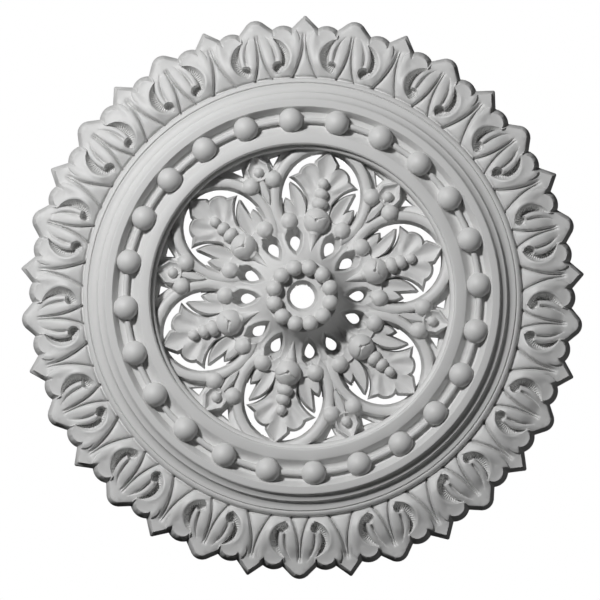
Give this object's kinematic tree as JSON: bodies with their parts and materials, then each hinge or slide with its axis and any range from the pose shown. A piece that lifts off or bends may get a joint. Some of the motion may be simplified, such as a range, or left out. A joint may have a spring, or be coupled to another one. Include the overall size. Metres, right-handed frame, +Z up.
{
  "type": "ceiling rose",
  "caption": "Round pierced ceiling rose with a leaf-tipped border, a beaded ring, an openwork centre of palmettes and berries, and a cable hole through its boss.",
  "frame": {"origin": "centre of the flat back that lies against the ceiling, on the axis of the cable hole", "axes": "+Z up, out of the flat back towards the ceiling; the relief hangs down to -Z; -Y is the top of the rose as it is seen from below with +X to the right"},
  "size_m": [0.458, 0.459, 0.044],
  "materials": {
    "primed_foam": "matt off-white primer on dense moulded foam"
  },
  "bodies": {
    "root": {"ceiling_rose": "primed_foam"}
  },
  "joints": []
}
